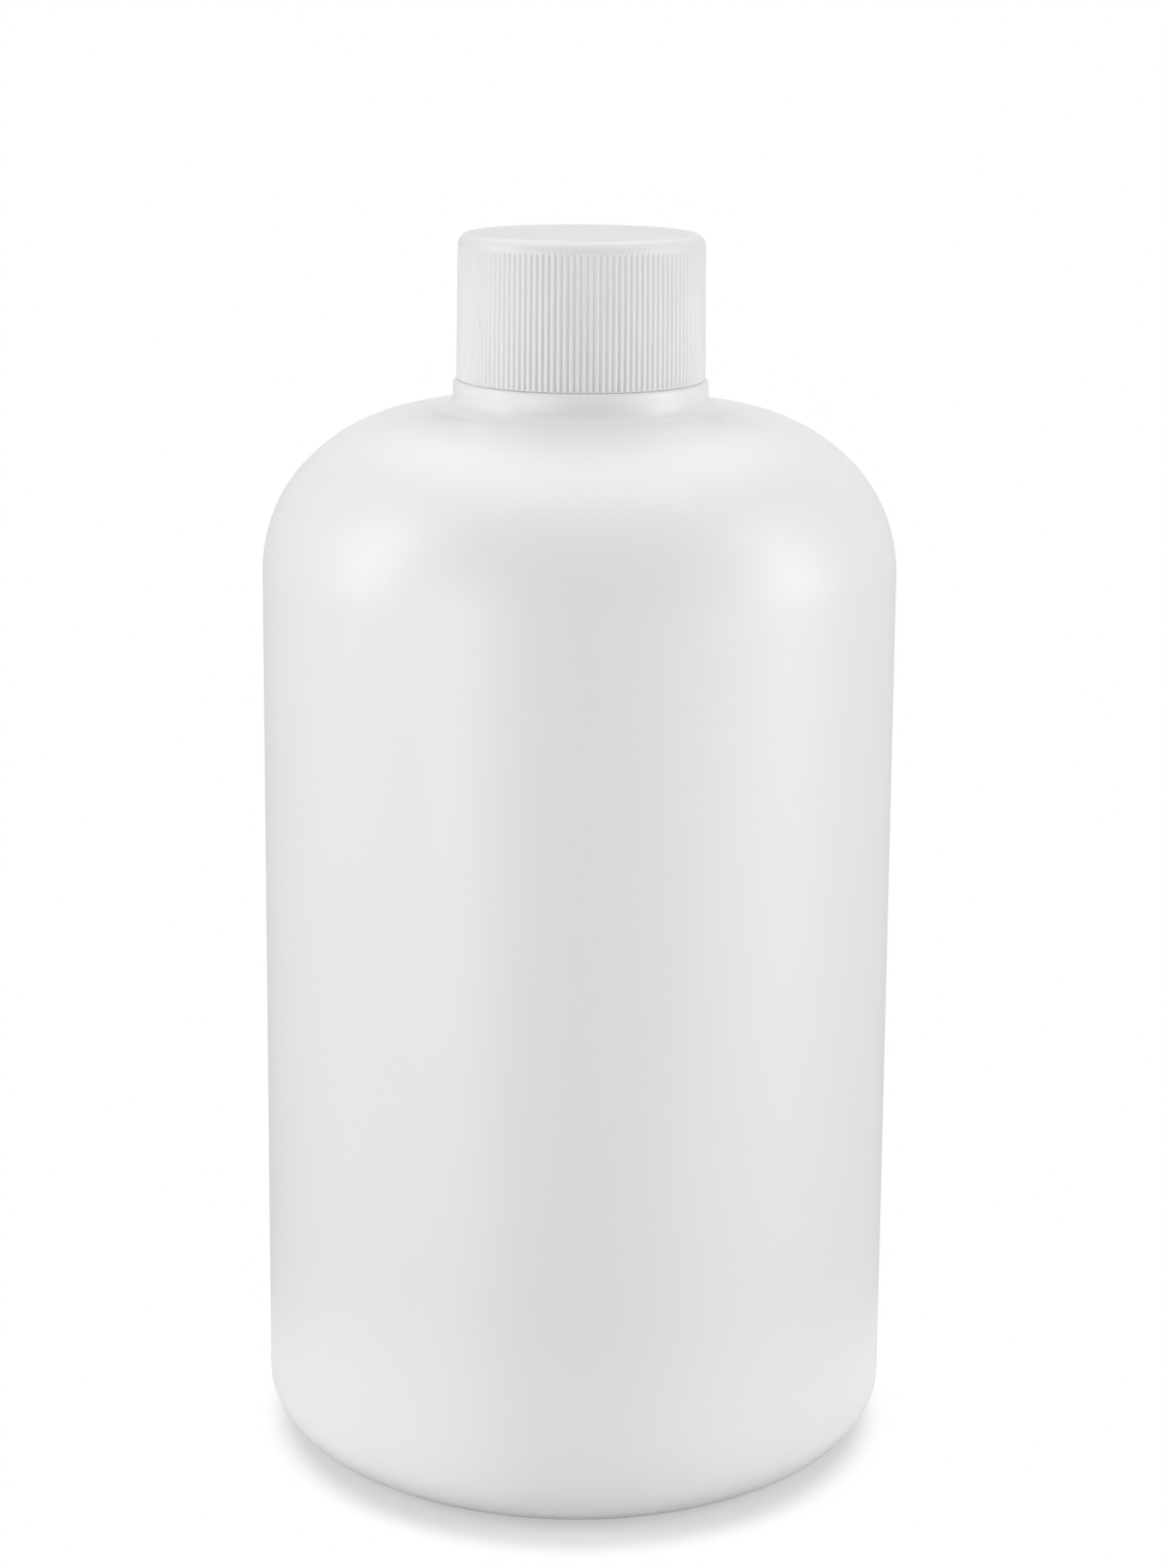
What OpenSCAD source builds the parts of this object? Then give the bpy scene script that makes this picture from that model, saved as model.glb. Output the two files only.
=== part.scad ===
// Narrow-mouth reagent bottle, 500 ml: a blow-moulded polyethylene bottle with a 28 mm
// continuous-thread neck, a fine-ribbed screw cap and the foam liner that seals it.
// Millimetres, +Z up. The origin is the centre of the base, on the plane that it stands on.

/* [Body] */
// Outside diameter of the body
body_d = 78; // [60:0.5:110]
// Height at which the straight wall ends and the shoulder begins
shoulder_z = 107.5; // [60:0.5:160]
// Thickness of the blow-moulded wall
wall = 1.2; // [0.8:0.1:2]
// Radius of the corner between the wall and the base
base_corner_r = 4.5; // [3:0.5:10]
// Width of the flat ring that the bottle stands on
standing_ring_w = 3; // [1.5:0.5:6]
// Rise of the hollow in the middle of the base
push_up = 2.4; // [1:0.2:5]
// Height of the pinch-off seam across the base
seam_h = 0.4; // [0.2:0.1:0.6]

/* [Shoulder and collar] */
// Rise of the shoulder from the straight wall to its crown
shoulder_h = 19.8; // [12:0.2:30]
// How far the collar under the cap stands out past the cap
collar_out = 0.25; // [0.1:0.05:2]
// Radius of the hollow fillet between the shoulder's crown and the collar
collar_fillet_r = 2.2; // [1:0.1:3]
// Height of the collar's upright side, above its fillet
collar_h = 1.4; // [1:0.1:4]
// Radius of the collar's upper edge
collar_edge_r = 0.6; // [0.2:0.1:0.8]

/* [Neck finish] */
// Diameter over the neck's thread
thread_d = 27.4; // [24:0.1:32]
// Height of the neck's thread above the neck's wall
thread_depth = 1.2; // [0.9:0.1:1.4]
// Rise of the threads in one turn
thread_pitch = 4.233; // [4:0.05:5]
// Length of the neck's thread, in turns
neck_thread_turns = 1.5; // [1.25:0.25:2]
// Height of the neck from the collar to the sealing land
neck_h = 15.6; // [15:0.1:18]
// Thickness of the neck's wall at the root of its thread
neck_wall = 1.7; // [1.2:0.1:2.4]
// Radius of the rounded lip on each side of the sealing land
lip_r = 0.4; // [0.2:0.1:0.6]

/* [Cap] */
// Thickness of the cap's skirt, from its bore to its outside
cap_wall = 1.25; // [1.1:0.05:2]
// Thickness of the cap's top
cap_top_t = 1.3; // [1:0.1:2]
// Radius of the cap's upper edge
cap_edge_r = 1.5; // [1:0.1:2.2]
// Number of grip ribs
rib_count = 128; // [60:1:150]
// Height of a rib above the valleys between the ribs
rib_depth = 0.25; // [0.15:0.05:0.4]
// Height of the smooth band under the ribs
skirt_band_h = 0.3; // [0.3:0.1:2]
// Length of the cap's thread, in turns
cap_thread_turns = 1.25; // [1:0.25:1.5]

/* [Liner] */
// Thickness of the liner under the closed cap
liner_t = 1; // [0.6:0.1:1.6]
// Width of the liner outside the neck's wall
liner_overlap = 0.9; // [0.6:0.1:1.2]

/* [Fits] */
// Gap between the collar and the closed cap's skirt
skirt_gap = 0.15; // [0.1:0.05:1]
// Gap between each thread's crest and the wall that it faces
crest_gap = 0.3; // [0.2:0.05:0.4]
// Gap between the flanks of the closed threads
flank_gap = 0.2; // [0.15:0.05:0.4]
// Gap around the liner in the cap
liner_gap = 0.15; // [0.1:0.05:0.3]

/* [Hidden] */

$fn = 120;

// Body, from the base up. The collar's width comes from the cap's, and that from the thread's.
body_r = body_d / 2;
standing_r = body_r - base_corner_r;
hollow_r = standing_r - standing_ring_w;
bore_r = thread_d / 2 + crest_gap;
cap_r = bore_r + cap_wall;
collar_r = cap_r + collar_out;
crown_r = collar_r + collar_fillet_r;
shoulder_w = body_r - crown_r;
crown_z = shoulder_z + shoulder_h;
collar_side_z = crown_z + collar_fillet_r;
collar_top_z = collar_side_z + collar_h;

// Base seam, which stops short of the standing ring
seam_w = 0.9;
seam_margin = 4;
seam_r = hollow_r - seam_margin;

// Neck
neck_r = thread_d / 2 - thread_depth;
mouth_r = neck_r - neck_wall;
land_z = collar_top_z + neck_h;
// The bore widens into the shoulder through a rounded throat.
throat_r = 3.6;
throat_z = crown_z - wall + throat_r;

// Threads: ridges with sloping flanks, wider at the root than at the crest
root_w = 2.2;
crest_w = 1;
lead_z = 1.5;
step = 10;
run_out = 40;
// What a ridge sinks into its wall, so that the two join as one solid.
bite = 0.4;
flank_slope = (root_w - crest_w) / 2 / thread_depth;
neck_thread_z = land_z - lead_z - root_w / 2 - neck_thread_turns * thread_pitch;
// The closed cap's thread lies against the underside of the neck's.
cap_thread_drop = (root_w + crest_w) / 2 - flank_slope * crest_gap + flank_gap;
cap_thread_z = neck_thread_z - cap_thread_drop;

// Cap
// The ribs stay a little inside the band and the top, so that neither has ragged edges.
rib_set_back = 0.05;
rib_r = cap_r - rib_set_back;
valley_r = rib_r - rib_depth;
core_r = valley_r - rib_depth;
skirt_z = collar_top_z + skirt_gap;
rib_bottom_z = skirt_z + skirt_band_h;
cap_top_z = land_z + liner_t + cap_top_t;
rib_top_z = cap_top_z - cap_edge_r;

// Liner, and the bead that keeps it in the cap
bead_h = 0.4;
bead_reach = 0.3;
bead_drop = 0.15;
liner_r = neck_r + liner_overlap;
recess_r = liner_r + liner_gap;
bead_r = liner_r - bead_reach;
bead_top_z = land_z - bead_drop;

// The points of an arc about centre c from angle a0 to a1. r holds its two half-axes.
function arc(c, r, a0, a1, steps) = [
    for (i = [0:steps])
        let (a = a0 + (a1 - a0) * i / steps)
        c + [r[0] * cos(a), r[1] * sin(a)]
];

// The same for a circle, whose two half-axes are equal.
function round_arc(c, r, a0, a1, steps) = arc(c, [r, r], a0, a1, steps);

// The hollow of the base from its flat middle to its edge, raised by lift.
function base_arc(lift) =
    let (
        ball_r = (hollow_r * hollow_r + push_up * push_up) / (2 * push_up),
        ball_z = lift + push_up - ball_r,
        steps = 12,
        edge_a = asin(hollow_r / ball_r),
        middle_a = edge_a / steps
    )
    concat(
        [[0, ball_z + ball_r * cos(middle_a)]],
        round_arc([0, ball_z], ball_r, 90 - middle_a, 90 - edge_a, steps - 1)
    );

function reversed(list) = [for (i = [len(list) - 1:-1:0]) list[i]];

// The bottle's outside, from the middle of the base to the sealing land.
outside = concat(
    base_arc(0),
    round_arc([standing_r, base_corner_r], base_corner_r, -90, 0, 10),
    arc([crown_r, shoulder_z], [shoulder_w, shoulder_h], 0, 90, 32),
    round_arc([crown_r, collar_side_z], collar_fillet_r, 270, 180, 8),
    round_arc([collar_r - collar_edge_r, collar_top_z - collar_edge_r], collar_edge_r, 0, 90, 5),
    [[neck_r, collar_top_z]],
    round_arc([neck_r - lip_r, land_z - lip_r], lip_r, 0, 90, 4)
);

// Its inside, from the sealing land to the middle of the base.
inside = concat(
    round_arc([mouth_r + lip_r, land_z - lip_r], lip_r, 90, 180, 4),
    round_arc([mouth_r + throat_r, throat_z], throat_r, 180, 270, 8),
    arc([crown_r, shoulder_z], [shoulder_w - wall, shoulder_h - wall], 90, 0, 32),
    round_arc([standing_r, base_corner_r], base_corner_r - wall, 0, -90, 10),
    reversed(base_arc(wall))
);

// How much of a thread's depth is left at angle a, where its ends run out.
function fade(a, turns) = min(1, a / run_out, (turns * 360 - a) / run_out);

// A thread's four corners at angle a, two sunk in the wall and two at the crest, as
// [radius, height]. side is 1 for a ridge on a neck and -1 for one inside a cap.
function thread_corners(a, wall_r, side, depth, turns) =
    let (
        left = fade(a, turns),
        crest_r = wall_r + side * (depth * left - bite / 4 * (1 - left)),
        sunk_r = wall_r - side * bite,
        sunk_w = root_w + 2 * flank_slope * bite
    )
    [[sunk_r, -sunk_w / 2], [crest_r, -crest_w / 2], [crest_r, crest_w / 2], [sunk_r, sunk_w / 2]];

// A right-hand helical ridge that starts at height z on a wall of radius wall_r.
module thread(wall_r, side, depth, turns, z) {
    rings = round(turns * 360 / step);
    points = [
        for (i = [0:rings], p = thread_corners(i * step, wall_r, side, depth, turns))
            [p[0] * cos(i * step), p[0] * sin(i * step), z + p[1] + thread_pitch * i * step / 360]
    ];
    sides = [
        for (i = [0:rings - 1], j = [0:3])
            let (a = 4 * i + j, b = 4 * i + (j + 1) % 4)
            for (f = [[a, a + 4, b + 4], [a, b + 4, b]]) f
    ];
    last = 4 * rings;
    ends = [[0, 1, 2], [0, 2, 3], [last, last + 2, last + 1], [last, last + 3, last + 2]];
    faces = concat(sides, ends);
    polyhedron(points, side < 0 ? faces : [for (f = faces) reversed(f)], convexity = 10);
}

// The seam where the mould pinched the tube of plastic shut, across the base's hollow.
module base_seam() {
    intersection() {
        translate([-seam_r, -seam_w / 2, 0]) cube([2 * seam_r, seam_w, push_up + wall]);
        rotate_extrude() polygon(concat(base_arc(-seam_h), reversed(base_arc(wall / 2))));
    }
}

module bottle() {
    color("#e8e8e6") {
        rotate_extrude() polygon(concat(outside, inside));
        thread(neck_r, 1, thread_depth, neck_thread_turns, neck_thread_z);
        base_seam();
    }
}

// The cap's ribs: flat-topped, with sloping sides and flat valleys.
module ribs() {
    pitch = 360 / rib_count;
    one_rib = [[-0.15, valley_r], [0.15, valley_r], [0.3, rib_r], [0.7, rib_r]];
    translate([0, 0, rib_bottom_z - bite / 2])
        linear_extrude(rib_top_z - rib_bottom_z + bite) polygon([
            for (i = [0:rib_count - 1], p = one_rib)
                p[1] * [cos((i + p[0]) * pitch), sin((i + p[0]) * pitch)]
        ]);
}

// The rest of the cap's outside: the band under the ribs and the rounded top above them.
module cap_blank() {
    rotate_extrude() polygon(concat(
        [[0, skirt_z], [cap_r, skirt_z], [cap_r, rib_bottom_z], [core_r, rib_bottom_z]],
        [[core_r, rib_top_z]],
        round_arc([cap_r - cap_edge_r, rib_top_z], cap_edge_r, 0, 90, 8),
        [[0, cap_top_z]]
    ));
}

// What is hollow in the cap: the threaded bore, the bead and the liner's recess.
module cap_hollow() {
    rotate_extrude() polygon([
        [0, skirt_z - 1],
        [bore_r + lip_r, skirt_z - 1],
        [bore_r + lip_r, skirt_z],
        [bore_r, skirt_z + lip_r],
        [bore_r, bead_top_z - bead_h - (bore_r - bead_r)],
        [bead_r, bead_top_z - bead_h],
        [bead_r, bead_top_z],
        [recess_r, bead_top_z],
        [recess_r, land_z + liner_t],
        [0, land_z + liner_t]
    ]);
}

module screw_cap() {
    color("#f4f4f2") {
        difference() {
            union() {
                cap_blank();
                ribs();
            }
            cap_hollow();
        }
        thread(bore_r, -1, thread_depth, cap_thread_turns, cap_thread_z);
    }
}

module cap_liner() {
    color("#f1efe8") translate([0, 0, land_z]) cylinder(r = liner_r, h = liner_t);
}

bottle();
screw_cap();
cap_liner();
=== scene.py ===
"""A 500 ml reagent bottle of natural polyethylene with a ribbed screw cap, dressed for a picture.

The blow-moulded bottle, the injection-moulded cap and the foam liner in the cap are modelled
one by one. Each stands for the frame's node of that piece and rides on the node's body.
Sizes are in millimetres, and those that the frame's boxes give are taken from there.
"""

import math

import bmesh
import bpy
from mathutils import Matrix, Vector


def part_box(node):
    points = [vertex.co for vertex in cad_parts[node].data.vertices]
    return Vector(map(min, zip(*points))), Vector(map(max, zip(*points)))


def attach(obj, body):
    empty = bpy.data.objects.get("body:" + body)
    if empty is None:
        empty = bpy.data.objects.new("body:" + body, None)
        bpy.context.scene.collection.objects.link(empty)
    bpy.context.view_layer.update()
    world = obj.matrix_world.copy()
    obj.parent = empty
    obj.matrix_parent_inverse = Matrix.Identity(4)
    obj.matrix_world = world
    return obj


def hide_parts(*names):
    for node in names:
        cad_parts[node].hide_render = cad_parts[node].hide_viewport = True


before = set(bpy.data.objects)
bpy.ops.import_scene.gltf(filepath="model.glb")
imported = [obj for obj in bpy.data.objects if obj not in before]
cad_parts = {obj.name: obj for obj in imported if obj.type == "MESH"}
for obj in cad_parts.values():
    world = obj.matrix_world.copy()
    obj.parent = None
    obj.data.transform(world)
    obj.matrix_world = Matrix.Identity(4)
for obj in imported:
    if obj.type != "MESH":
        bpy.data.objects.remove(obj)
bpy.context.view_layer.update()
bpy.ops.object.select_all(action="DESELECT")

MM = 0.001


def round_size(node):
    """How far a round node reaches from the axis, and its lowest and highest point, in mm."""
    low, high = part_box(node)
    return high.x / MM, low.z / MM, high.z / MM


# Sizes that the frame gives
body_r, _, land_z = round_size("bottle")
cap_r, skirt_z, cap_top_z = round_size("screw_cap")
liner_r, _, liner_top_z = round_size("cap_liner")

# Bottle, from the base up
wall = 1.2
base_corner_r = 4.5
standing_ring_w = 3
push_up = 2.4
shoulder_z = 107.5
shoulder_h = 19.8
cap_gap = 0.05
collar_out = 0.4
collar_fillet_r = 2.05
collar_edge_r = 0.5
neck_wall = 1.7
lip_r = 0.4
throat_r = 3.6
liner_overlap = 0.9

standing_r = body_r - base_corner_r
hollow_r = standing_r - standing_ring_w
collar_r = cap_r + collar_out
crown_r = collar_r + collar_fillet_r
crown_z = shoulder_z + shoulder_h
collar_side_z = crown_z + collar_fillet_r
collar_top_z = skirt_z - cap_gap
neck_r = liner_r - liner_overlap
mouth_r = neck_r - neck_wall
throat_z = crown_z - wall + throat_r

# What the mould's halves leave on the bottle: a wide seam where they pinch the base shut, and
# a low line up the wall on both sides. The two share one foot and one crest.
seam_h = 0.4
seam_margin = 4
parting_h = 0.05
seam_foot_w = 0.9
seam_crest_w = 0.3
# Cuts this far beside the seam keep its slopes out of the shading of the wall.
seam_hold = 0.1
axis_r = 0.1

# Threads
thread_pitch = 4.233
thread_depth = 1.2
neck_turns = 1.5
cap_turns = 1.25
root_w = 2.2
crest_w = 1
crest_round = 0.3
lead_z = 1.5
run_out = 40
bite = 0.4
crest_gap = 0.3
flank_gap = 0.2
flank_slope = (root_w - crest_w) / 2 / thread_depth
neck_thread_z = land_z - lead_z - root_w / 2 - neck_turns * thread_pitch
cap_thread_z = neck_thread_z - (root_w + crest_w) / 2 + flank_slope * crest_gap - flank_gap

# Cap
bore_r = neck_r + thread_depth + crest_gap
cap_edge_r = 1.5
cap_draft = 0.18
skirt_edge = 0.04
skirt_band_h = 0.1
rib_count = 128
rib_depth = 0.19
rib_rise = 0.1
rib_fade = 0.35
bead_h = 0.4
bead_reach = 0.3
bead_drop = 0.15
liner_gap = 0.15
# The ribs' valleys are sunk only in what lies further than this outside the bore.
skirt_core = 0.5
rib_bottom_z = skirt_z + skirt_band_h
rib_top_z = cap_top_z - cap_edge_r
recess_r = liner_r + liner_gap
bead_r = liner_r - bead_reach
bead_top_z = land_z - bead_drop

# Liner
liner_edge_r = 0.15
imprint_depth = 0.08

# How finely the round pieces are drawn. Each rib of the cap has its own eight sides.
BOTTLE_SIDES = 192
SIDES_PER_RIB = 8
LINER_SIDES = 96
PLINTH_SIDES = 64
# Steps in each rounded stretch of an outline, and in the round of a thread's crest
HOLLOW_STEPS = 14
CORNER_STEPS = 12
INNER_CORNER_STEPS = 10
SHOULDER_STEPS = 40
INNER_SHOULDER_STEPS = 32
LIP_STEPS = 9
LINER_EDGE_STEPS = 4
CREST_STEPS = 6
# Faces that meet at more than this many degrees keep a sharp edge.
BOTTLE_SMOOTH = 12
CAP_SMOOTH = 60
LINER_SMOOTH = 30
# A thread is drawn in steps of so many degrees.
THREAD_STEP = 5
# A thread starts this many degrees past +X, so that none of its corners meets one of the wall's.
THREAD_START = 0.6
# Points that are closer than this, in mm, are the same.
TOUCH = 1e-4


# ---------------------------------------------------------------- outlines


def arc(centre, half_axes, start, end, steps):
    """Points along an arc about centre, from one angle to the other in degrees."""
    angles = [math.radians(start + (end - start) * i / steps) for i in range(steps + 1)]
    return [
        (centre[0] + half_axes[0] * math.cos(a), centre[1] + half_axes[1] * math.sin(a))
        for a in angles
    ]


def round_arc(centre, radius, start, end, steps):
    """The same for a circle."""
    return arc(centre, (radius, radius), start, end, steps)


def joined(*stretches):
    """One outline of several stretches, without the points that they share."""
    points = []
    for point in [p for stretch in stretches for p in stretch]:
        if not points or math.dist(point, points[-1]) > TOUCH:
            points.append(point)
    return points


def base_hollow(lift):
    """The hollow of the base, from beside the axis to its edge, raised by lift."""
    ball_r = (hollow_r**2 + push_up**2) / (2 * push_up)
    ball_z = lift + push_up - ball_r
    near = math.degrees(math.acos(axis_r / ball_r))
    edge = math.degrees(math.acos(hollow_r / ball_r))
    return round_arc((0, ball_z), ball_r, near, edge, HOLLOW_STEPS)


def bottle_outside():
    """The bottle's outside, from the middle of the base to the sealing land."""
    edge = (collar_r - collar_edge_r, collar_top_z - collar_edge_r)
    return joined(
        base_hollow(0),
        round_arc((standing_r, base_corner_r), base_corner_r, -90, 0, CORNER_STEPS),
        arc((crown_r, shoulder_z), (body_r - crown_r, shoulder_h), 0, 90, SHOULDER_STEPS),
        round_arc((crown_r, collar_side_z), collar_fillet_r, 270, 180, CORNER_STEPS),
        round_arc(edge, collar_edge_r, 0, 90, LIP_STEPS),
        [(neck_r, collar_top_z)],
        round_arc((neck_r - lip_r, land_z - lip_r), lip_r, 0, 90, LIP_STEPS),
    )


def bottle_inside():
    """The bottle's inside, from the sealing land back to the middle of the base."""
    inner_w, inner_h = body_r - crown_r - wall, shoulder_h - wall
    return joined(
        [(neck_r - lip_r, land_z)],
        round_arc((mouth_r + lip_r, land_z - lip_r), lip_r, 90, 180, LIP_STEPS),
        round_arc((mouth_r + throat_r, throat_z), throat_r, 180, 270, CORNER_STEPS),
        arc((crown_r, shoulder_z), (inner_w, inner_h), 90, 0, INNER_SHOULDER_STEPS),
        round_arc((standing_r, base_corner_r), base_corner_r - wall, 0, -90, INNER_CORNER_STEPS),
        reversed(base_hollow(wall)),
    )


def cap_outline():
    """The cap's outline, from the ceiling of the liner's seat, round the skirt, to the top."""
    edge_r = cap_r - cap_draft - cap_edge_r
    return joined(
        [(axis_r, liner_top_z), (recess_r, liner_top_z), (recess_r, bead_top_z)],
        [(bead_r, bead_top_z), (bead_r, bead_top_z - bead_h)],
        [(bore_r, bead_top_z - bead_h - (bore_r - bead_r))],
        [(bore_r, skirt_z + lip_r), (bore_r + lip_r, skirt_z)],
        [(cap_r - skirt_edge, skirt_z), (cap_r, skirt_z + skirt_edge), (cap_r, rib_bottom_z)],
        [(cap_r, rib_bottom_z + rib_rise), (cap_r - cap_draft, rib_top_z - rib_fade)],
        round_arc((edge_r, rib_top_z), cap_edge_r, 0, 90, CORNER_STEPS),
        [(axis_r, cap_top_z)],
    )


def liner_outline():
    """The liner, with the shallow ring that the bottle's lip has pressed into its underside."""
    bottom_z = land_z
    pressed_z = bottom_z + imprint_depth
    inner_r, outer_r = mouth_r + lip_r, neck_r - lip_r
    side_r = liner_r - liner_edge_r
    return joined(
        [(axis_r, bottom_z), (inner_r - imprint_depth, bottom_z), (inner_r, pressed_z)],
        [(outer_r, pressed_z), (outer_r + imprint_depth, bottom_z)],
        round_arc((side_r, bottom_z + liner_edge_r), liner_edge_r, -90, 0, LINER_EDGE_STEPS),
        round_arc((side_r, liner_top_z - liner_edge_r), liner_edge_r, 0, 90, LINER_EDGE_STEPS),
        [(axis_r, liner_top_z)],
    )


# ---------------------------------------------------------------- modelling


def pick(piece, wanted):
    """Selects those vertices of the piece in edit mode whose place, in mm, is wanted."""
    bpy.ops.mesh.select_mode(type="VERT")
    mesh = bmesh.from_edit_mesh(piece.data)
    for vertex in mesh.verts:
        vertex.select_set(wanted(vertex.co / MM))
    mesh.select_flush_mode()
    bmesh.update_edit_mesh(piece.data)


def carry_ring(outline):
    """Draws the selected ring, which lies at the outline's first point, on along the others."""
    for (last_r, last_z), (next_r, next_z) in zip(outline, outline[1:]):
        rise = (0, 0, (next_z - last_z) * MM)
        bpy.ops.mesh.extrude_region_move(TRANSFORM_OT_translate={"value": rise})
        growth = next_r / last_r
        bpy.ops.transform.resize(value=(growth, growth, 1), center_override=(0, 0, next_z * MM))


def close_ends():
    """Closes each open ring with a face, and fans that face out from its middle."""
    bpy.ops.mesh.select_mode(type="EDGE")
    bpy.ops.mesh.select_all(action="DESELECT")
    bpy.ops.mesh.select_non_manifold()
    bpy.ops.mesh.fill_holes(sides=0)
    bpy.ops.mesh.select_mode(type="FACE")
    bpy.ops.mesh.select_face_by_sides(number=4, type="GREATER")
    bpy.ops.mesh.poke()


def draw_round(name, outline, sides):
    """Draws a round shell up from a ring at the outline's first point, and stays in edit mode."""
    radius, height = outline[0]
    place = (0, 0, height * MM)
    bpy.ops.mesh.primitive_circle_add(vertices=sides, radius=radius * MM, location=place)
    piece = bpy.context.object
    piece.name = piece.data.name = name
    bpy.ops.object.transform_apply()
    bpy.ops.object.mode_set(mode="EDIT")
    bpy.ops.mesh.select_mode(type="EDGE")
    bpy.ops.mesh.select_all(action="SELECT")
    carry_ring(outline)
    return piece


def finish_piece(piece, smooth_angle):
    """Turns the faces outwards, leaves edit mode and smooths all but the sharper edges."""
    bpy.ops.mesh.select_all(action="SELECT")
    bpy.ops.mesh.normals_make_consistent(inside=False)
    bpy.ops.object.mode_set(mode="OBJECT")
    smooth(piece, smooth_angle)


def smooth(piece, smooth_angle):
    """Shades a piece smooth, except where its faces meet at more than the angle in degrees."""
    bpy.ops.object.select_all(action="DESELECT")
    piece.select_set(True)
    bpy.context.view_layer.objects.active = piece
    bpy.ops.object.shade_smooth_by_angle(angle=math.radians(smooth_angle))
    piece.select_set(False)


def draw_thread(wall_r, side, start_z, turns):
    """A right-hand ridge on a round wall, which starts by +X and runs out at both ends.

    side is 1 on the outside of a neck and -1 inside a cap. The ridge's back is sunk in the wall.
    """
    back_r = wall_r - side * bite
    full_depth = thread_depth + bite
    back_w = root_w + 2 * flank_slope * bite
    middle = Vector((back_r + side * full_depth / 2, 0, start_z)) * MM
    bpy.ops.mesh.primitive_plane_add(size=MM, location=middle, rotation=(math.pi / 2, 0, 0))
    ridge = bpy.context.object
    bpy.ops.object.transform_apply()
    bpy.ops.object.mode_set(mode="EDIT")
    bpy.ops.transform.resize(value=(full_depth, 1, back_w), center_override=middle)
    pick(ridge, lambda p: side * (p.x - wall_r) > 0)
    bpy.ops.transform.resize(value=(1, 1, crest_w / back_w), center_override=middle)
    bpy.ops.mesh.bevel(offset=crest_round * MM, segments=CREST_STEPS, affect="VERTICES")
    bpy.ops.mesh.select_all(action="SELECT")

    steps = round(turns * 360 / THREAD_STEP)
    depth = full_depth
    for step in range(steps + 1):
        angle = step * THREAD_STEP
        if step:
            rise = (0, 0, thread_pitch * THREAD_STEP / 360 * MM)
            bpy.ops.mesh.extrude_region_move(TRANSFORM_OT_translate={"value": rise})
            # With no window a turn runs the other way, so this one is anticlockwise from above.
            bpy.ops.transform.rotate(
                value=-math.radians(THREAD_STEP), orient_axis="Z", center_override=(0, 0, 0)
            )
        left = min(1, angle / run_out, (turns * 360 - angle) / run_out)
        new_depth = bite / 2 + (full_depth - bite / 2) * left
        at = math.radians(angle)
        back = Vector((math.cos(at), math.sin(at), 0)) * back_r * MM
        growth = new_depth / depth
        bpy.ops.transform.resize(value=(growth, growth, 1), center_override=back)
        depth = new_depth
    bpy.ops.mesh.select_all(action="SELECT")
    bpy.ops.transform.rotate(
        value=-math.radians(THREAD_START), orient_axis="Z", center_override=(0, 0, 0)
    )
    bpy.ops.mesh.normals_make_consistent(inside=False)
    bpy.ops.object.mode_set(mode="OBJECT")
    return ridge


def unite(piece, ridge):
    """Makes a ridge one solid with its piece."""
    union = piece.modifiers.new("union", "BOOLEAN")
    union.operation = "UNION"
    union.solver = "EXACT"
    union.object = ridge
    bpy.context.view_layer.objects.active = piece
    bpy.ops.object.modifier_apply(modifier=union.name)
    bpy.data.objects.remove(ridge)


def raise_mould_lines(piece):
    """Raises the pinched seam across the base and the parting lines up both sides."""
    half_foot, half_crest = seam_foot_w / 2, seam_crest_w / 2
    hold = half_foot + seam_hold
    for y in (-hold, -half_foot, -half_crest, half_crest, half_foot, hold):
        bpy.ops.mesh.select_all(action="SELECT")
        bpy.ops.mesh.bisect(plane_co=(0, y * MM, 0), plane_no=(0, 1, 0))
    bpy.ops.mesh.select_all(action="SELECT")
    bpy.ops.mesh.normals_make_consistent(inside=False)
    on_crest = half_crest + TOUCH
    seam_r = hollow_r - seam_margin
    pick(piece, lambda p: abs(p.y) < on_crest and abs(p.x) < seam_r and p.z < base_corner_r)
    bpy.ops.transform.translate(value=(0, 0, -seam_h * MM))
    pick(piece, lambda p: abs(p.y) < on_crest and base_corner_r <= p.z < crown_z)
    bpy.ops.transform.shrink_fatten(value=parting_h * MM)


def model_bottle():
    """The bottle: its outer wall with the mould's lines, its inner wall, and the neck's thread."""
    piece = draw_round("bottle_shell", bottle_outside(), BOTTLE_SIDES)
    raise_mould_lines(piece)
    pick(piece, lambda p: p.z > land_z - TOUCH and p.xy.length < neck_r - lip_r + TOUCH)
    bpy.ops.mesh.select_mode(type="EDGE")
    carry_ring(bottle_inside())
    close_ends()
    finish_piece(piece, BOTTLE_SMOOTH)
    unite(piece, draw_thread(neck_r, 1, neck_thread_z, neck_turns))
    smooth(piece, BOTTLE_SMOOTH)
    return piece


def sink_valleys(piece):
    """Sinks the valleys between the cap's ribs. A valley lies at the front's middle."""
    # How deep each of a rib's sides lies, counted from the valley, as a share of the rib's height
    sink_of_side = {0: 1.0, 1: 0.8, 2: 0.3, 3: 0.05}
    turn = 2 * math.pi / (rib_count * SIDES_PER_RIB)
    low_z, high_z = rib_bottom_z + rib_rise / 2, rib_top_z - rib_fade / 2
    for wanted, share in sink_of_side.items():

        def in_valley(p):
            side = round(math.atan2(p.y, p.x) / turn) % SIDES_PER_RIB
            from_valley = min(side, SIDES_PER_RIB - side)
            on_ribs = low_z < p.z < high_z and p.xy.length > bore_r + skirt_core
            return from_valley == wanted and on_ribs

        pick(piece, in_valley)
        sink = 1 - share * rib_depth / cap_r
        bpy.ops.transform.resize(value=(sink, sink, 1), center_override=(0, 0, 0))


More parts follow.
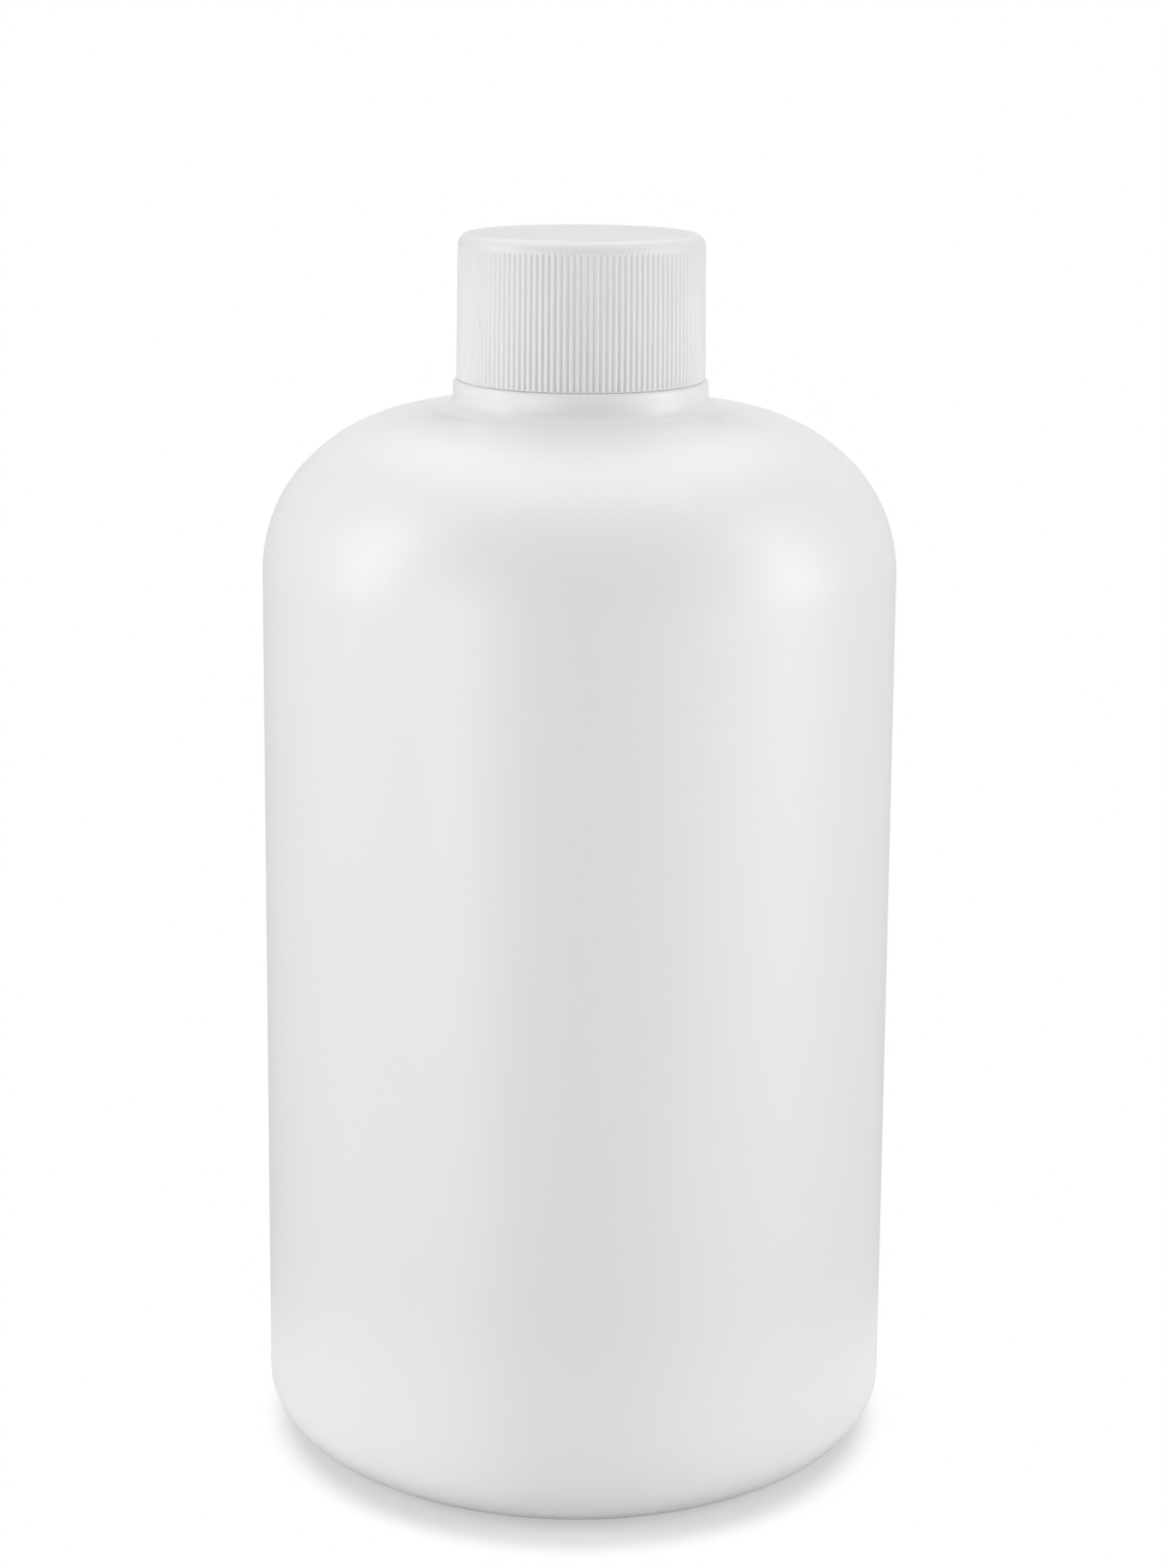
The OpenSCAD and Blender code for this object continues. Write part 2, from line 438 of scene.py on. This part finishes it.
def model_cap():
    """The cap: ribbed skirt over a smooth band, rounded top, threaded bore and liner seat."""
    piece = draw_round("ribbed_cap", cap_outline(), rib_count * SIDES_PER_RIB)
    sink_valleys(piece)
    close_ends()
    finish_piece(piece, CAP_SMOOTH)
    unite(piece, draw_thread(bore_r, -1, cap_thread_z, cap_turns))
    smooth(piece, CAP_SMOOTH)
    return piece


def model_liner():
    """The foam disc that seals the cap on the bottle's mouth."""
    piece = draw_round("liner_disc", liner_outline(), LINER_SIDES)
    close_ends()
    finish_piece(piece, LINER_SMOOTH)
    return piece


bottle = model_bottle()
cap = model_cap()
liner = model_liner()


# ---------------------------------------------------------------- materials

# Painted light: the bottle's colour is whitest below the lower of these heights and fades back up
# to the other, standing in for the light that the pale floor throws onto the foot.
bounce_full_below = 6
bounce_gone_above = 30


def linear(hex_colour):
    """An sRGB hex colour as the linear colour that a shader takes."""
    parts = [int(hex_colour[i : i + 2], 16) / 255 for i in (1, 3, 5)]
    return [c / 12.92 if c <= 0.04045 else ((c + 0.055) / 1.055) ** 2.4 for c in parts] + [1]


def add_node(tree, kind, inputs=None, **settings):
    """Adds a node. inputs gives its sockets, by name or number, a value or another's output."""
    made = tree.nodes.new(kind)
    for name, value in settings.items():
        setattr(made, name, value)
    for socket, value in (inputs or {}).items():
        if isinstance(value, bpy.types.NodeSocket):
            tree.links.new(value, made.inputs[socket])
        else:
            made.inputs[socket].default_value = value
    return made


def new_material(name):
    """A bare material, and its node tree."""
    material = bpy.data.materials.new(name)
    material.use_nodes = True
    material.node_tree.nodes.clear()
    return material, material.node_tree


def natural_polyethylene():
    """Natural polyethylene, blow-moulded: milky, so light goes a little way into the wall and
    softens every edge of shade, with a satin skin from the mould and a wall that is a little
    thicker here and thinner there."""
    material, tree = new_material("natural_polyethylene_blow_moulded")
    place = add_node(tree, "ShaderNodeTexCoord").outputs["Object"]
    # Cloudy bands of 35 mm where the wall's thickness changes, drawn out up the bottle to
    # about three times that.
    stretched = add_node(
        tree, "ShaderNodeMapping", {"Vector": place, "Scale": (1, 1, 0.35)}
    ).outputs["Vector"]
    clouds = add_node(
        tree, "ShaderNodeTexNoise", {"Vector": stretched, "Scale": 1 / (35 * MM), "Detail": 2}
    )
    tint = add_node(
        tree,
        "ShaderNodeMix",
        {"Factor": clouds.outputs["Fac"], "A": linear("#E9E9E9"), "B": linear("#EDEDED")},
        data_type="RGBA",
    )
    # Painted light: towards the foot the colour turns whiter, standing in for the light that the
    # pale floor throws up onto it.
    up = add_node(tree, "ShaderNodeSeparateXYZ", {0: place}).outputs["Z"]
    painted_bounce = add_node(
        tree,
        "ShaderNodeMapRange",
        {"Value": up, "From Min": bounce_gone_above * MM, "From Max": bounce_full_below * MM},
        interpolation_type="SMOOTHSTEP",
    )
    colour = add_node(
        tree,
        "ShaderNodeMix",
        {
            "Factor": painted_bounce.outputs["Result"],
            "A": tint.outputs["Result"],
            "B": linear("#F4F4F4"),
        },
        data_type="RGBA",
    )
    # The mould's blasted skin: grains of 0.3 mm, coarser than the real ones so that they show.
    grain = add_node(
        tree, "ShaderNodeTexNoise", {"Vector": place, "Scale": 1 / (0.3 * MM), "Detail": 3}
    )
    # Slow waves of 14 mm, from the way that the soft tube met the mould, which bend the sheen.
    waves = add_node(
        tree, "ShaderNodeTexNoise", {"Vector": stretched, "Scale": 1 / (14 * MM), "Detail": 1}
    )
    skin = add_node(
        tree,
        "ShaderNodeBump",
        {"Height": grain.outputs["Fac"], "Strength": 0.25, "Distance": 0.02 * MM},
    )
    wavy = add_node(
        tree,
        "ShaderNodeBump",
        {
            "Height": waves.outputs["Fac"],
            "Strength": 0.4,
            "Distance": 0.25 * MM,
            "Normal": skin.outputs["Normal"],
        },
    )
    # The blasted skin gives a broad, strong sheen rather than a mirror image.
    surface = add_node(
        tree,
        "ShaderNodeBsdfPrincipled",
        {
            "Base Color": colour.outputs["Result"],
            "Roughness": 0.42,
            "IOR": 1.52,
            "Specular IOR Level": 0.75,
            "Subsurface Weight": 0.3,
            "Subsurface Radius": (2, 2, 2),
            "Subsurface Scale": MM,
            "Normal": wavy.outputs["Normal"],
        },
    )
    add_node(tree, "ShaderNodeOutputMaterial", {"Surface": surface.outputs["BSDF"]})
    return material


def white_polypropylene():
    """White polypropylene, injection-moulded: opaque with a soft satin gloss, and a very fine
    grain where the polished mould has been blasted."""
    material, tree = new_material("white_polypropylene_injection_moulded")
    place = add_node(tree, "ShaderNodeTexCoord").outputs["Object"]
    # Flow marks of 8 mm change the gloss a little.
    flow = add_node(
        tree, "ShaderNodeTexNoise", {"Vector": place, "Scale": 1 / (8 * MM), "Detail": 2}
    )
    gloss = add_node(
        tree,
        "ShaderNodeMapRange",
        {"Value": flow.outputs["Fac"], "To Min": 0.36, "To Max": 0.46},
    )
    # The mould's grain: 0.2 mm, coarser than the real one so that it shows.
    grain = add_node(
        tree, "ShaderNodeTexNoise", {"Vector": place, "Scale": 1 / (0.2 * MM), "Detail": 2}
    )
    skin = add_node(
        tree,
        "ShaderNodeBump",
        {"Height": grain.outputs["Fac"], "Strength": 0.2, "Distance": 0.01 * MM},
    )
    surface = add_node(
        tree,
        "ShaderNodeBsdfPrincipled",
        {
            "Base Color": linear("#E4E4E4"),
            "Roughness": gloss.outputs["Result"],
            "IOR": 1.49,
            "Subsurface Weight": 0.2,
            "Subsurface Radius": (0.15, 0.15, 0.15),
            "Subsurface Scale": MM,
            "Normal": skin.outputs["Normal"],
        },
    )
    add_node(tree, "ShaderNodeOutputMaterial", {"Surface": surface.outputs["BSDF"]})
    return material


def polyethylene_foam():
    """Expanded polyethylene foam, skived into sheet: matt, off-white, and full of small cells."""
    material, tree = new_material("polyethylene_foam_skived")
    place = add_node(tree, "ShaderNodeTexCoord").outputs["Object"]
    # Cut cells of 0.5 mm, dished between their walls. Painted shade darkens each cell towards the
    # bottom of its dish.
    cells = add_node(
        tree, "ShaderNodeTexVoronoi", {"Vector": place, "Scale": 1 / (0.5 * MM)}
    )
    painted_cell_shade = add_node(
        tree,
        "ShaderNodeMix",
        {"Factor": cells.outputs["Distance"], "A": linear("#E2DFD6"), "B": linear("#F2F0E9")},
        data_type="RGBA",
    )
    dish = add_node(
        tree,
        "ShaderNodeBump",
        {"Height": cells.outputs["Distance"], "Strength": 0.6, "Distance": 0.1 * MM},
    )
    surface = add_node(
        tree,
        "ShaderNodeBsdfPrincipled",
        {
            "Base Color": painted_cell_shade.outputs["Result"],
            "Roughness": 0.8,
            "IOR": 1.5,
            "Normal": dish.outputs["Normal"],
        },
    )
    add_node(tree, "ShaderNodeOutputMaterial", {"Surface": surface.outputs["BSDF"]})
    return material


bottle.data.materials.append(natural_polyethylene())
cap.data.materials.append(white_polypropylene())
liner.data.materials.append(polyethylene_foam())

for piece, node, body, slot in (
    (bottle, "bottle", "bottle", "natural_polyethylene"),
    (cap, "screw_cap", "cap", "white_polypropylene"),
    (liner, "cap_liner", "liner", "polyethylene_foam"),
):
    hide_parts(node)
    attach(piece, body)


# ---------------------------------------------------------------- floor and light

# The bottle stands on a small round plinth, so that the softboxes and the pale table around it
# light its foot from below as they do the wall above.
plinth_r = 55
# It lies this much under the standing ring, so that the two don't share a face.
plinth_drop = 0.05
# Near the bottle the floor keeps its real shadow, inside a round patch that is set this far to the
# front and fades to white beyond it. The patch paints where the shadow ends and its lean to the
# front, and is a little grey even where fully lit.
painted_shadow_front = 5
shadow_r = 34.8
white_r = 39.8
# Within the shadow, too, the floor is lifted this far towards white.
shadow_lift = 0.45
# How much of the white floor, and of the white room behind the softboxes, the satin skins
# mirror. Less than all of it leaves the pale bottle its darker rim.
mirrored_floor = 0.2
mirrored_room = 0.05
# Over this much of a unit direction the table blends into the room above it, and its front
# into its back.
horizon_blur = 0.02
table_blur = 0.4
# The softboxes stand this far from the bottle's middle.
light_aim = Vector((0, 0, 70)) * MM
light_distance = 700


def white_where_seen(tree, mirrored):
    """1 for what the camera sees, itself or through glass, and mirrored for what a gloss shows."""
    rays = add_node(tree, "ShaderNodeLightPath").outputs
    seen = add_node(
        tree,
        "ShaderNodeMath",
        {0: rays["Is Camera Ray"], 1: rays["Is Transmission Ray"]},
        operation="ADD",
    )
    return add_node(
        tree,
        "ShaderNodeMath",
        {0: rays["Is Glossy Ray"], 1: mirrored, 2: seen.outputs[0]},
        operation="MULTIPLY_ADD",
        use_clamp=True,
    ).outputs[0]


def pale_floor():
    """A round, matt white floor, which is white beyond the shadow, where it is seen."""
    bpy.ops.mesh.primitive_circle_add(
        vertices=PLINTH_SIDES,
        radius=plinth_r * MM,
        fill_type="NGON",
        location=(0, 0, -plinth_drop * MM),
    )
    bpy.ops.object.transform_apply()
    floor = bpy.context.object
    floor.name = floor.data.name = "floor"
    material, tree = new_material("matt_white_floor")
    place = add_node(tree, "ShaderNodeTexCoord").outputs["Object"]
    # The patch's middle sits to the front of the bottle: a painted lean of the shadow, not one
    # cast by the lamps.
    far = add_node(
        tree,
        "ShaderNodeVectorMath",
        {0: place, 1: (0, -painted_shadow_front * MM, 0)},
        operation="DISTANCE",
    )
    beyond = add_node(
        tree,
        "ShaderNodeMapRange",
        {
            "Value": far.outputs["Value"],
            "From Min": shadow_r * MM,
            "From Max": white_r * MM,
            "To Min": shadow_lift,
        },
        interpolation_type="SMOOTHSTEP",
    )
    lifted = add_node(
        tree,
        "ShaderNodeMath",
        {0: beyond.outputs["Result"], 1: white_where_seen(tree, mirrored_floor)},
        operation="MULTIPLY",
    )
    matt = add_node(tree, "ShaderNodeBsdfDiffuse", {"Color": linear("#D4D4D4")})
    white = add_node(tree, "ShaderNodeEmission", {"Strength": 1})
    both = add_node(
        tree,
        "ShaderNodeMixShader",
        {0: lifted.outputs[0], 1: matt.outputs[0], 2: white.outputs[0]},
    )
    add_node(tree, "ShaderNodeOutputMaterial", {"Surface": both.outputs[0]})
    floor.data.materials.append(material)


def white_world(front_table, back_table, above):
    """A room that is white where it is seen. Its pale table, which is brighter in front, lights
    the bottle from below."""
    world = bpy.data.worlds.new("white_room")
    bpy.context.scene.world = world
    world.use_nodes = True
    tree = world.node_tree
    tree.nodes.clear()
    direction = add_node(tree, "ShaderNodeTexCoord").outputs["Generated"]
    parts = add_node(tree, "ShaderNodeSeparateXYZ", {0: direction}).outputs
    table = add_node(
        tree,
        "ShaderNodeMapRange",
        {
            "Value": parts["Y"],
            "From Min": -table_blur,
            "From Max": table_blur,
            "To Min": front_table,
            "To Max": back_table,
        },
    )
    light = add_node(
        tree,
        "ShaderNodeMapRange",
        {
            "Value": parts["Z"],
            "From Min": -horizon_blur,
            "From Max": horizon_blur,
            "To Min": table.outputs["Result"],
            "To Max": above,
        },
    )
    strength = add_node(
        tree,
        "ShaderNodeMix",
        {0: white_where_seen(tree, mirrored_room), "A": light.outputs["Result"], "B": 1.0},
    )
    sky = add_node(
        tree,
        "ShaderNodeBackground",
        {"Color": linear("#FFFFFF"), "Strength": strength.outputs[0]},
    )
    add_node(tree, "ShaderNodeOutputWorld", {"Surface": sky.outputs[0]})


def soft_light(name, azimuth, elevation, width, height, power, mirrored=True):
    """A soft light that faces the bottle. Azimuth 0 is at the camera, and 90 on the right.

    The power is in watts. One that isn't mirrored gives light and no gloss.
    """
    turn, rise = math.radians(azimuth), math.radians(elevation)
    level = math.cos(rise)
    back = Vector((math.sin(turn) * level, -math.cos(turn) * level, math.sin(rise)))
    lamp = bpy.data.lights.new(name, "AREA")
    lamp.shape = "RECTANGLE"
    lamp.size = width * MM
    lamp.size_y = height * MM
    lamp.energy = power
    light = bpy.data.objects.new(name, lamp)
    light.location = light_aim + back * light_distance * MM
    light.rotation_euler = back.to_track_quat("Z", "Y").to_euler()
    light.visible_glossy = mirrored
    bpy.context.scene.collection.objects.link(light)


pale_floor()
white_world(front_table=0.77, back_table=0.33, above=0.2)
# After the name come the azimuth and elevation in degrees, the width and height, and the power.
soft_light("left_softbox", -80, 24, 240, 600, 1.8)
soft_light("left_front_softbox", -40, 0, 240, 600, 1.4)
soft_light("right_front_softbox", 52, 0, 240, 600, 0.45)
soft_light("right_softbox", 80, 24, 240, 600, 1.65)
soft_light("right_low_softbox", 78, 0, 240, 600, 0.9)
soft_light("top_softbox", 180, 75, 800, 800, 3.55)
# This one only keeps the far side from going dark.
soft_light("back_softbox", 180, 25, 600, 400, 1.8, mirrored=False)


# ---------------------------------------------------------------- camera

IMAGE_H = 1752
IMAGE_W = 1300
SENSOR = 36
# The pitch and the roll are in radians.
camera_distance = 360.5
camera_height = 175.7
camera_pitch = 0.1652
camera_roll = 0.0070
# The focal length, and the point where the line of sight meets the picture, in pixels.
focal_length = 3313
sight_x = 648.3
sight_y = 561


def set_camera():
    """The camera in front of the bottle, a little above it and looking down."""
    lens = bpy.data.cameras.new("camera")
    lens.sensor_width = SENSOR
    lens.lens = focal_length / IMAGE_H * SENSOR
    lens.shift_x = (IMAGE_W / 2 - sight_x) / IMAGE_H
    lens.shift_y = (sight_y - IMAGE_H / 2) / IMAGE_H
    camera = bpy.data.objects.new("camera", lens)
    camera.location = Vector((0, -camera_distance, camera_height)) * MM
    pitch = Matrix.Rotation(math.pi / 2 - camera_pitch, 3, "X")
    camera.rotation_euler = (pitch @ Matrix.Rotation(camera_roll, 3, "Z")).to_euler()
    bpy.context.scene.collection.objects.link(camera)
    bpy.context.scene.camera = camera


set_camera()
bpy.context.scene.view_settings.view_transform = "Standard"
